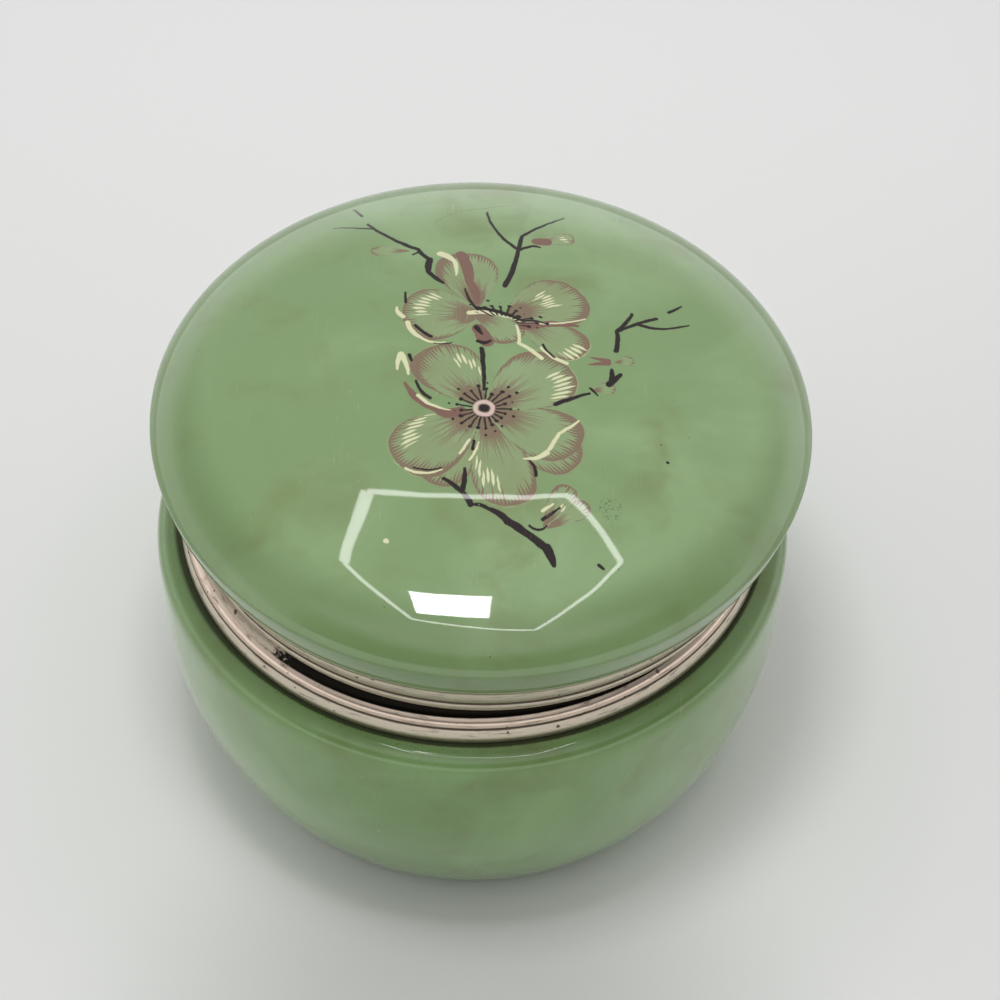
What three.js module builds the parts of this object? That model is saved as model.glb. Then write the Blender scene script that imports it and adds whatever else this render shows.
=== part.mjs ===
import * as THREE from 'three';

// A round alabaster box with a loose domed lid. Both halves are turned from stone and edged with
// a metal mount. Millimetres, +Z up, front towards -Y, the origin in the middle of the underside.

// Body
const bodyRadius = 55;
const bellyHeight = 40; // height of the body's widest circle
const footRadius = 44.2; // where the flank would meet the floor if its edge were sharp
const footRounding = 2.6;
const flankPower = 2.36; // how late the flank turns in on its way down
const shoulderPower = 10; // how sharply the shoulder turns in to the shelf around the mount
const bodyWall = 7;
const bodyFloor = 8;

// Both mounts
const seamRadius = 50.5; // outer edge of a mount where it meets the stone
const seamInset = 0.2; // how far the mount's edge stands in from the stone's
const metalWall = 1.4;
const bandBulge = 0.2; // how far the middle of a band swells out
const brokenEdge = 0.35; // where a sharp metal edge is taken off
const plateThickness = 0.8; // the flat ring that covers the edge of the stone
const grooveDepth = 0.35;
const grooveWidth = 0.5;
const gap = 0.3; // between pieces that touch

// Mount of the body: a broad lower band, a groove, a narrow upper band, a slope and a collar
const seamHeight = 51.8;
const lowerBand = 3.3;
const upperBand = 1.75;
const slopeRise = 1.15; // the polished slope between the upper band and the collar
const bandTaper = 0.4; // how far the mount draws in from the seam to the groove
const ledgeRadius = 49.1;
const collarRadius = 47.9;
const collarHeight = 2.75; // above the top of the bands, halfway between its low and high side
const collarWall = 1.5;

// Mount of the lid: a band that stands on the collar, a groove and a band against the stone
const standingBand = 2.3;
const lidBand = 3.9;
const lidMountRadius = 49.7;
const lipWall = 0.8;
const lipDepth = 2;
const lipPlay = 1.36; // between the lid's lip and the collar around it, when it is centred

// Lid
const lidRadius = 55;
const edgeRise = 9.4; // from the mount up to the lid's crisp edge, its widest circle
const undersidePower = 1.45; // how full the underside is between the mount and the edge
const domeFoot = 7.6; // from the mount up to where the dome's curve would stand upright
const domeRise = 13.4;
const domePower = 2.3; // how flat the dome is before it turns down
const domeEnd = 52.5; // the radius where the dome breaks off towards the edge
const lidWall = 8;
const cavityPower = 3; // how square the hollows of the body and lid are

// The lid lies over to the right as far as its lip lets it, on a seat that slopes down that way
const lidLean = THREE.MathUtils.degToRad(0.8);
const lidShift = lipPlay - gap;

const turns = 60; // flat sides around every turned piece

// Where the pieces meet
const collarBore = collarRadius - collarWall;
const lipRadius = collarBore - lipPlay;
const mouthRadius = lipRadius - lipWall;
const ledgeHeight = seamHeight + lowerBand + upperBand;
const plateUnderside = ledgeHeight - plateThickness;
const lidSeat = ledgeHeight + collarHeight + gap;
const spigotRadius = seamRadius - bandTaper - grooveDepth - metalWall; // inside of a mount's bands
const lidSeam = standingBand + lidBand; // measured up from the lid's seat
const stoneEdge = seamRadius + seamInset;

const alabaster = new THREE.MeshStandardMaterial({ color: 0x7f9a68, roughness: 0.25 });
const agedMetal = new THREE.MeshStandardMaterial({ color: 0xc6bba2, roughness: 0.4, metalness: 0.8 });

function curve(steps, pointAt) {
  return Array.from({ length: steps + 1 }, (_, i) => new THREE.Vector2(...pointAt(i / steps)));
}

// The outside of a band between its two edges, each given as a radius and a height
function band(lower, upper) {
  return curve(3, (t) => [
    THREE.MathUtils.lerp(lower[0], upper[0], t) + bandBulge * 4 * t * (1 - t),
    THREE.MathUtils.lerp(lower[1], upper[1], t),
  ]);
}

// A rounded hollow from its rim to its deepest point on the axis; depth is negative downwards
function hollow(radius, height, depth, steps) {
  return curve(steps, (t) => {
    const angle = (t * Math.PI) / 2;
    const across = Math.max(Math.cos(angle), 0) ** (2 / cavityPower);
    return [radius * across, height + depth * Math.sin(angle) ** (2 / cavityPower)];
  });
}

function points(...pairs) {
  return pairs.map(([radius, height]) => new THREE.Vector2(radius, height));
}

function turned(name, outline, material) {
  const geometry = new THREE.LatheGeometry(outline, turns);
  geometry.rotateX(Math.PI / 2);
  const mesh = new THREE.Mesh(geometry, material);
  mesh.name = name;
  return mesh;
}

function bowl() {
  const flankAt = (height) => {
    const fall = (bellyHeight - height) / bellyHeight;
    return bodyRadius - (bodyRadius - footRadius) * fall ** flankPower;
  };
  const seamShare = (stoneEdge / bodyRadius) ** shoulderPower;
  const shoulderRise = (seamHeight - bellyHeight) / (1 - seamShare) ** (1 / shoulderPower);
  const shoulderTurn = Math.acos(Math.sqrt(seamShare));
  const outline = [
    ...points([0, 0], [footRadius - footRounding, 0], [footRadius - footRounding / 4, footRounding / 4]),
    ...curve(6, (t) => {
      const height = footRounding + (bellyHeight - footRounding) * t;
      return [flankAt(height), height];
    }),
    ...curve(5, (t) => [
      bodyRadius * Math.cos(shoulderTurn * t) ** (2 / shoulderPower),
      bellyHeight + shoulderRise * Math.sin(shoulderTurn * t) ** (2 / shoulderPower),
    ]).slice(1),
    ...points([spigotRadius - gap, seamHeight], [spigotRadius - gap, plateUnderside - gap]),
    ...points([mouthRadius, plateUnderside - gap]),
    ...hollow(bodyRadius - bodyWall, bellyHeight, bodyFloor - bellyHeight, 7),
  ];
  return turned('bowl', outline, alabaster);
}

// The seat slopes with the lid, so the collar is taller on the left than on the right
function slopeSeat(mesh) {
  const position = mesh.geometry.attributes.position;
  for (let i = 0; i < position.count; i += 1) {
    if (position.getZ(i) > ledgeHeight + slopeRise + gap) {
      const fall = (position.getX(i) - lidShift) * Math.tan(lidLean);
      position.setZ(i, position.getZ(i) - fall);
    }
  }
}

function bowlRim() {
  const grooveHeight = seamHeight + lowerBand;
  const grooveRadius = seamRadius - bandTaper;
  const collarTop = lidSeat - gap;
  const outline = [
    ...points([spigotRadius, seamHeight + gap]),
    ...band([seamRadius, seamHeight + gap], [grooveRadius, grooveHeight - grooveWidth / 2]),
    ...points([grooveRadius - grooveDepth, grooveHeight]),
    ...band([grooveRadius, grooveHeight + grooveWidth / 2], [ledgeRadius, ledgeHeight]),
    ...points([collarRadius, ledgeHeight + slopeRise]),
    ...points([collarRadius, collarTop - brokenEdge], [collarRadius - brokenEdge, collarTop]),
    ...points([collarBore, collarTop], [collarBore, ledgeHeight], [mouthRadius, ledgeHeight]),
    ...points([mouthRadius, plateUnderside], [spigotRadius, plateUnderside]),
    ...points([spigotRadius, seamHeight + gap]),
  ];
  const mesh = turned('bowl_rim', outline, agedMetal);
  slopeSeat(mesh);
  return mesh;
}

// The lid's two pieces are drawn with the mount's flat underside, which is its seat, at height 0
function lidRim() {
  const grooveRadius = seamRadius - bandTaper;
  const outline = [
    ...points([mouthRadius, -lipDepth], [lipRadius, -lipDepth], [lipRadius, 0]),
    ...points([lidMountRadius - brokenEdge, 0]),
    ...band([lidMountRadius, brokenEdge], [grooveRadius, standingBand - grooveWidth / 2]),
    ...points([grooveRadius - grooveDepth, standingBand]),
    ...band([grooveRadius, standingBand + grooveWidth / 2], [seamRadius, lidSeam - gap]),
    ...points([spigotRadius, lidSeam - gap], [spigotRadius, plateThickness]),
    ...points([mouthRadius, plateThickness], [mouthRadius, -lipDepth]),
  ];
  return turned('lid_rim', outline, agedMetal);
}

function lid() {
  const edgeHeight = lidSeam + edgeRise;
  const domeBase = lidSeam + domeFoot;
  const hollowDepth = domeFoot + domeRise - lidWall;
  const outline = [
    ...hollow(mouthRadius, lidSeam, hollowDepth, 6).reverse(),
    ...points([mouthRadius, plateThickness + gap], [spigotRadius - gap, plateThickness + gap]),
    ...points([spigotRadius - gap, lidSeam]),
    ...curve(4, (t) => {
      const angle = (t * Math.PI) / 2;
      return [
        stoneEdge + (lidRadius - stoneEdge) * Math.sin(angle) ** (2 / undersidePower),
        edgeHeight - edgeRise * Math.max(Math.cos(angle), 0) ** (2 / undersidePower),
      ];
    }),
    ...curve(9, (t) => {
      const angle = (t * Math.PI) / 2;
      const across = Math.max(Math.cos(angle), 0) ** (2 / domePower);
      return [lidRadius * across, domeBase + domeRise * Math.sin(angle) ** (2 / domePower)];
    }).filter((point) => point.x < domeEnd),
  ];
  return turned('lid', outline, alabaster);
}

const lifted = new THREE.Group();
lifted.add(lidRim(), lid());
lifted.position.set(lidShift, 0, lidSeat);
lifted.rotation.y = lidLean;

const box = new THREE.Group();
box.add(bowl(), bowlRim(), lifted);

export default box;
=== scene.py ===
import math

import bmesh
import bpy
from mathutils import Matrix, Vector, noise as noiseTools


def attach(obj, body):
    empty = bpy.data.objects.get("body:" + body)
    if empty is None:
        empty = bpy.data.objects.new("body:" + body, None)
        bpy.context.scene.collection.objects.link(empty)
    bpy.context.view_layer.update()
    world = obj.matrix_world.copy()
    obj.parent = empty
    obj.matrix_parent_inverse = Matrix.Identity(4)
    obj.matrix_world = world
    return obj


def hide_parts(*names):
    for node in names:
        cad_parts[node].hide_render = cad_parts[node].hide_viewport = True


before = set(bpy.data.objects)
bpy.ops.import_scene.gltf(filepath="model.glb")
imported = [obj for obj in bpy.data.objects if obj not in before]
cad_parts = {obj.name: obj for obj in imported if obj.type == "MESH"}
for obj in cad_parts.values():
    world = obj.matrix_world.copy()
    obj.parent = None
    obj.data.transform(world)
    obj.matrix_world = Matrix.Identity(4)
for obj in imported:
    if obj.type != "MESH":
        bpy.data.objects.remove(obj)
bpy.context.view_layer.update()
print("frame loaded")

# sizes are in millimetres and the frame is in metres
mm = 0.001
scene = bpy.context.scene
scene.view_settings.view_transform = "Standard"

# the lid lies a little to the right of the body's middle and leans down that way
lidSeat = {"shift": 1.06, "height": 59.9, "lean": math.radians(0.8)}
seatPlace = Vector((lidSeat["shift"], 0, lidSeat["height"])) * mm
seatMatrix = Matrix.Translation(seatPlace) @ Matrix.Rotation(lidSeat["lean"], 4, "Y")


# Node helpers: a socket as an input is linked, and anything else is set on the socket
def addNode(tree, kind, inputs=None, **settings):
    node = tree.nodes.new("ShaderNode" + kind)
    for name, value in settings.items():
        setattr(node, name, value)
    for key, value in (inputs or {}).items():
        if isinstance(value, bpy.types.NodeSocket):
            tree.links.new(value, node.inputs[key])
        else:
            node.inputs[key].default_value = value
    return node


def calc(tree, operation, *values):
    return addNode(tree, "Math", dict(enumerate(values)), operation=operation).outputs[0]


# in place of a node's own clamp, which the renderer sets behind all others and so keeps much in memory
def limit(tree, value):
    return calc(tree, "MINIMUM", calc(tree, "MAXIMUM", value, 0.0), 1.0)


def vectorCalc(tree, operation, *values):
    node = addNode(tree, "VectorMath", dict(enumerate(values)), operation=operation)
    return node.outputs["Value" if operation == "DOT_PRODUCT" else "Vector"]


def hypot(tree, x, y):
    return calc(tree, "SQRT", calc(tree, "MULTIPLY_ADD", x, x, calc(tree, "MULTIPLY", y, y)))


def split(tree, vector):
    return addNode(tree, "SeparateXYZ", {0: vector}).outputs


def combine(tree, x, y, z=0.0):
    return addNode(tree, "CombineXYZ", {0: x, 1: y, 2: z}).outputs[0]


def ramp(tree, value, low, high, start=0.0, end=1.0):
    inputs = {"Value": value, "From Min": low, "From Max": high, "To Min": start, "To Max": end}
    return addNode(tree, "MapRange", inputs, interpolation_type="SMOOTHSTEP", clamp=False).outputs["Result"]


def edge(tree, value, low, high):
    return limit(tree, calc(tree, "MULTIPLY_ADD", value, 1 / (high - low), -low / (high - low)))


def blend(tree, factor, a, b):
    return addNode(tree, "Mix", {0: factor, 6: a, 7: b}, data_type="RGBA").outputs[2]


def blendVector(tree, factor, a, b):
    return addNode(tree, "Mix", {0: factor, 4: a, 5: b}, data_type="VECTOR").outputs[1]


def noise(tree, vector, scale, detail=2.0, roughness=0.5, distortion=0.0):
    inputs = {
        "Vector": vector, "Scale": scale, "Detail": detail, "Roughness": roughness, "Distortion": distortion,
    }
    return addNode(tree, "TexNoise", inputs).outputs["Fac"]


def newGroup(name, inputs, outputs):
    group = bpy.data.node_groups.new(name, "ShaderNodeTree")
    for socketName, value in inputs.items():
        kind = "NodeSocketFloat" if isinstance(value, (int, float)) else "NodeSocketVector"
        kind = "NodeSocketColor" if not isinstance(value, (int, float)) and len(value) == 4 else kind
        socket = group.interface.new_socket(name=socketName, in_out="INPUT", socket_type=kind)
        socket.default_value = value
    for socketName, kind in outputs.items():
        group.interface.new_socket(name=socketName, in_out="OUTPUT", socket_type="NodeSocket" + kind)
    return group, group.nodes.new("NodeGroupInput").outputs, group.nodes.new("NodeGroupOutput").inputs


def putOut(group, outputs, values):
    for name, socket in values.items():
        group.links.new(socket, outputs[name])


def useGroup(tree, group, inputs):
    return addNode(tree, "Group", inputs, node_tree=group).outputs


def newMaterial(name):
    material = bpy.data.materials.new(name)
    material.use_nodes = True
    tree = material.node_tree
    tree.nodes.clear()
    shader = tree.nodes.new("ShaderNodeBsdfPrincipled")
    output = tree.nodes.new("ShaderNodeOutputMaterial")
    tree.links.new(shader.outputs[0], output.inputs[0])
    return material, tree, shader


# the place on a piece in millimetres, and on the lid's two pieces about the lid's own axis
def piecePlace(tree, leaning):
    coords = addNode(tree, "TexCoord").outputs["Object"]
    return addNode(tree, "Mapping", {
        "Vector": coords, "Location": seatPlace if leaning else (0, 0, 0), "Scale": (mm, mm, mm),
        "Rotation": (0, lidSeat["lean"] if leaning else 0, 0),
    }, vector_type="TEXTURE").outputs[0]


# The printed branch, in millimetres about the lid's axis as seen from above

# each figure has its own two axes, and its place along them comes from dot products
localSockets = {"Axis": (1, 0, 0), "Side": (0, 1, 0), "Axis Start": 0.0, "Side Start": 0.0}


def localPlace(group, given):
    def along(name):
        share = vectorCalc(group, "DOT_PRODUCT", given["Place"], given[name])
        return calc(group, "ADD", share, given[name + " Start"])
    return along("Axis"), along("Side")


def localInputs(start, turned, size=(1, 1)):
    axis = Vector((math.cos(turned), math.sin(turned), 0)) / size[0]
    side = Vector((-math.sin(turned), math.cos(turned), 0)) / size[1]
    start = Vector((*start, 0))
    return {"Axis": axis, "Side": side, "Axis Start": -axis.dot(start), "Side Start": -side.dot(start)}


# a petal is a fan about the blossom's middle; where it lies over those before it, its own field wins
def petalGroup():
    group, given, out = newGroup("petal", {
        "Place": (0, 0, 0), "Below Field": (0, 0, 0), "Below Finish": (0, 0, 0), "Below Print": 0.0,
        **localSockets, "Length": 10.0, "Spread": 0.6, "Lean": 0.0, "Finish": (0, 0, 0),
    }, {"Field": "Vector", "Finish": "Vector", "Print": "Float"})
    x, y = localPlace(group, given)
    radius = hypot(group, x, y)
    angle = calc(group, "ARCTAN2", y, x)
    across = calc(group, "DIVIDE", angle, given["Spread"])
    fall = calc(group, "POWER", calc(group, "ABSOLUTE", across), 2.7)
    shape = calc(group, "SQRT", calc(group, "MAXIMUM", calc(group, "SUBTRACT", 1.0, fall), 0.0))
    shape = calc(group, "MULTIPLY", shape, calc(group, "MULTIPLY_ADD", across, given["Lean"], 1.0))
    reach = calc(group, "MULTIPLY", calc(group, "MAXIMUM", shape, 0.001), given["Length"])
    outward = calc(group, "DIVIDE", radius, reach)
    mask = edge(group, outward, 1.0, 0.98)
    field = combine(group, calc(group, "MULTIPLY", angle, given["Length"]), across, outward)
    putOut(group, out, {
        "Field": blendVector(group, mask, given["Below Field"], field),
        "Finish": blendVector(group, mask, given["Below Finish"], given["Finish"]),
        "Print": calc(group, "MAXIMUM", given["Below Print"], mask),
    })
    return group


# hatching that grows in from a petal's edge and out from its base, and a few light strokes
def hatchGroup():
    group, given, out = newGroup("petalHatching", {
        "Field": (0, 0, 0), "Finish": (0, 0, 0), "Pitch": 0.62, "Light Pitch": 1.05,
    }, {"Mauve": "Float", "Light": "Float"})
    arc, across, outward = split(group, given["Field"])[:3]
    thick, lightAcross, lightOut = split(group, given["Finish"])[:3]

    def stripes(pitch):
        stripe = calc(group, "DIVIDE", arc, pitch)
        cell = calc(group, "MULTIPLY_ADD", lightOut, 37.0, calc(group, "ROUND", stripe))
        chance = addNode(group, "TexWhiteNoise", {"W": cell}, noise_dimensions="1D").outputs["Color"]
        return calc(group, "PINGPONG", stripe, 0.5), split(group, chance)

    def grow(line, depth, reach):
        half = calc(group, "MULTIPLY_ADD", calc(group, "DIVIDE", depth, reach), -0.62, 0.56)
        return limit(group, calc(group, "MULTIPLY", calc(group, "SUBTRACT", half, line), 9.0))

    line, chance = stripes(given["Pitch"])
    border = calc(group, "MAXIMUM", calc(group, "MULTIPLY_ADD", across, thick, 0.035), 0.03)
    inward = calc(group, "SUBTRACT", calc(group, "SUBTRACT", 1.0, outward), border)
    fringe = grow(line, inward, calc(group, "MULTIPLY_ADD", chance[0], 0.2, 0.05))
    beyond = calc(group, "SUBTRACT", outward, 0.3)
    base = grow(line, beyond, calc(group, "MULTIPLY_ADD", chance[1], 0.36, 0.08))
    putOut(group, out, {"Mauve": calc(group, "MAXIMUM", fringe, base)})

    line, chance = stripes(given["Light Pitch"])
    side = ramp(group, calc(group, "ABSOLUTE", calc(group, "SUBTRACT", across, lightAcross)), 0.34, 0.30)
    middle = calc(group, "MULTIPLY_ADD", chance[0], 0.08, lightOut)
    away = calc(group, "ABSOLUTE", calc(group, "SUBTRACT", outward, middle))
    long = calc(group, "MULTIPLY_ADD", chance[1], 0.05, 0.1)
    light = calc(group, "MULTIPLY", grow(line, away, long), ramp(group, line, 0.33, 0.27))
    putOut(group, out, {"Light": calc(group, "MULTIPLY", light, side)})
    return group


# the distance to the nearest edge of a stroke, below zero inside it
def strokeGroup():
    group, given, out = newGroup("brushStroke", {
        "Place": (0, 0, 0), "Nearest": 9.0, **localSockets, "Length": 5.0,
        "Bow": 0.0, "Width": 0.3, "Widening": 0.0, "Belly": 0.0,
    }, {"Nearest": "Float"})
    ahead, aside = localPlace(group, given)
    share = limit(group, calc(group, "DIVIDE", ahead, given["Length"]))
    hump = calc(group, "MULTIPLY", share, calc(group, "SUBTRACT", 1.0, share))
    beyond = calc(group, "SUBTRACT", ahead, calc(group, "MULTIPLY", share, given["Length"]))
    aside = calc(group, "MULTIPLY_ADD", hump, given["Bow"], aside)
    distance = hypot(group, beyond, aside)
    width = calc(group, "MULTIPLY_ADD", share, given["Widening"], given["Width"])
    width = calc(group, "MULTIPLY_ADD", hump, given["Belly"], width)
    nearest = calc(group, "MINIMUM", calc(group, "SUBTRACT", distance, width), given["Nearest"])
    putOut(group, out, {"Nearest": nearest})
    return group


# filaments with knobs and loose dots about a blossom's middle
def stamenGroup():
    group, given, out = newGroup("stamens", {
        "Place": (0, 0, 0), **localSockets, "Cut": -9.0, "Count": 23.0,
    }, {"Nearest": "Float", "Radius": "Float"})
    x, y = localPlace(group, given)
    radius = hypot(group, x, y)
    perTurn = calc(group, "DIVIDE", given["Count"], math.tau)
    stripe = calc(group, "MULTIPLY", calc(group, "ARCTAN2", y, x), perTurn)
    chance = addNode(group, "TexWhiteNoise", {"W": calc(group, "ROUND", stripe)}, noise_dimensions="1D")
    chance = split(group, chance.outputs["Color"])
    step = calc(group, "DIVIDE", calc(group, "MULTIPLY", radius, math.tau), given["Count"])
    aside = calc(group, "MULTIPLY", calc(group, "PINGPONG", stripe, 0.5), step)
    tip = calc(group, "MULTIPLY_ADD", chance[0], 1.5, 2.7)
    past = calc(group, "SUBTRACT", radius, tip)
    filament = calc(group, "MAXIMUM", calc(group, "SUBTRACT", aside, 0.14), past)
    filament = calc(group, "MAXIMUM", filament, calc(group, "SUBTRACT", 1.6, radius))
    knob = calc(group, "SUBTRACT", hypot(group, aside, past), 0.2)
    knob = calc(group, "MULTIPLY_ADD", chance[1], -0.16, knob)
    dotPast = calc(group, "SUBTRACT", past, calc(group, "MULTIPLY_ADD", chance[2], 0.5, 0.75))
    dot = calc(group, "MULTIPLY_ADD", chance[2], -0.26, hypot(group, aside, dotPast))
    nearest = calc(group, "MINIMUM", calc(group, "MINIMUM", filament, knob), dot)
    nearest = calc(group, "MAXIMUM", nearest, calc(group, "SUBTRACT", given["Cut"], y))
    putOut(group, out, {"Nearest": nearest, "Radius": radius})
    return group


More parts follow.
